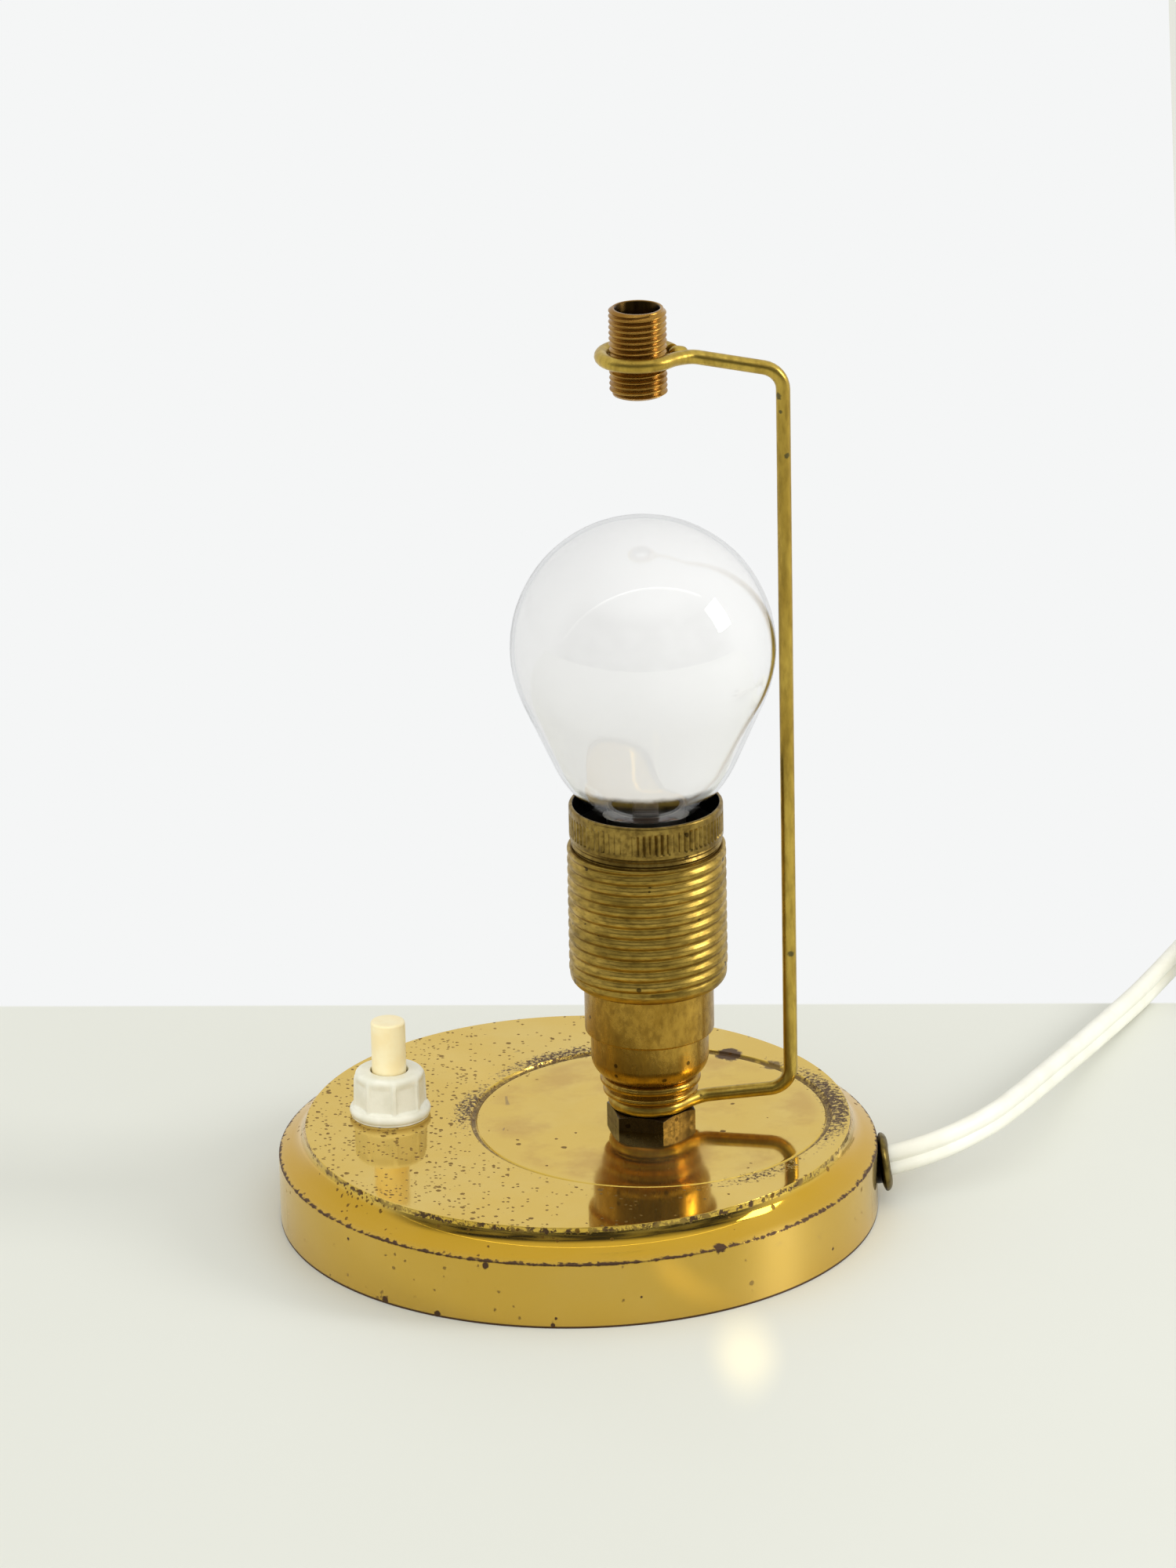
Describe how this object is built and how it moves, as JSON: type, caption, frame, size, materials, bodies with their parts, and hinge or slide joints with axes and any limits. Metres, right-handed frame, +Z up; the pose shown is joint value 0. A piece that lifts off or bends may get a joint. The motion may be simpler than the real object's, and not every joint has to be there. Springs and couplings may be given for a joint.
{
  "type": "table lamp",
  "caption": "Small brass table lamp without its shade: spun round base with push switch, threaded holder with globe bulb, bent rod carrying a shade nipple, flat twin lead and plug.",
  "frame": {"origin": "centre of the round base, on the surface that it stands on", "axes": "+Z up, +X towards the side that the lead leaves from, -Y towards the viewer of the picture"},
  "size_m": [0.26, 0.2014, 0.1663],
  "materials": {
    "spun_brass": "polished, worn and spotted",
    "dull_brass": "dull, olive tarnish",
    "rod_brass": "dull",
    "nipple_brass": "brown patina",
    "nut_brass": "dark patina",
    "terminal_brass": "plain",
    "shell_copper": "copper-coloured",
    "cast_iron": "as cast",
    "steel": "zinc plated",
    "cover_steel": "plain",
    "felt": "felt",
    "porcelain": "glazed",
    "bulb_glass": "clear, with a soft white inner coat",
    "mount_glass": "clear",
    "cap_metal": "plain",
    "black_glass": "opaque black glass",
    "solder": "solder",
    "tungsten": "plain",
    "switch_plastic": "moulded",
    "collar_plastic": "ivory, aged",
    "button_plastic": "cream",
    "spring_steel": "plain",
    "saddle_plastic": "moulded",
    "bush_brass": "dark olive",
    "lead_white": "soft white sheath",
    "wire_grey": "insulation",
    "wire_brown": "insulation",
    "plug_white": "moulded",
    "pin_nickel": "nickel plated"
  },
  "bodies": {
    "lamp": {"base_shell": "spun_brass", "base_weight": "cast_iron", "bottom_cover": "cover_steel", "cover_screws": "steel", "felt_pad": "felt", "stem_tube": "terminal_brass", "stem_nut": "nut_brass", "stem_washer": "steel", "stem_locknut": "terminal_brass", "rod": "rod_brass", "top_nipple": "nipple_brass", "socket_cap": "spun_brass", "socket_sleeve": "dull_brass", "socket_collar": "dull_brass", "socket_core": "porcelain", "screw_shell": "shell_copper", "centre_contact": "terminal_brass", "terminal_posts": "terminal_brass", "terminal_screws": "steel", "switch_body": "switch_plastic", "switch_collar": "collar_plastic", "switch_spring": "spring_steel", "switch_terminals": "terminal_brass", "cord_bush": "bush_brass", "bush_clip": "terminal_brass", "cord_saddle": "saddle_plastic", "cord_inner": "lead_white", "wire_neutral": "wire_grey", "wire_live": "wire_brown", "wire_switched": "wire_brown", "cord_lead": "lead_white", "cord_coil": "lead_white", "cord_tail": "lead_white", "plug_body": "plug_white", "plug_pins": "pin_nickel"},
    "button": {"switch_plunger": "button_plastic", "contact_bridge": "terminal_brass"},
    "bulb_tip": {"bulb_contact": "solder"},
    "bulb": {"bulb_glass": "bulb_glass", "bulb_cap": "cap_metal", "bulb_insulator": "black_glass", "bulb_mount": "mount_glass", "filament": "tungsten"}
  },
  "joints": [
    {"name": "switch_press", "type": "slide", "parent": "lamp", "child": "button", "axis": [0, 0, -1], "range_m": [0, 0.004], "stiffness_N_per_m": 300, "springref_m": -0.002, "deforming": ["switch_spring"]},
    {"name": "bulb_lift", "type": "slide", "parent": "lamp", "child": "bulb_tip", "axis": [0, 0, 1], "range_m": [0, 0.01412]},
    {"name": "bulb_turn", "type": "hinge", "parent": "bulb_tip", "child": "bulb", "pos_m": [0.013, 0.0006, 0.0524], "axis": [0, 0, 1], "range_deg": [0, 1800]}
  ],
  "couplings": [
    {"joint": "bulb_lift", "follows": "bulb_turn", "m_per_rad": 0.00044914}
  ]
}
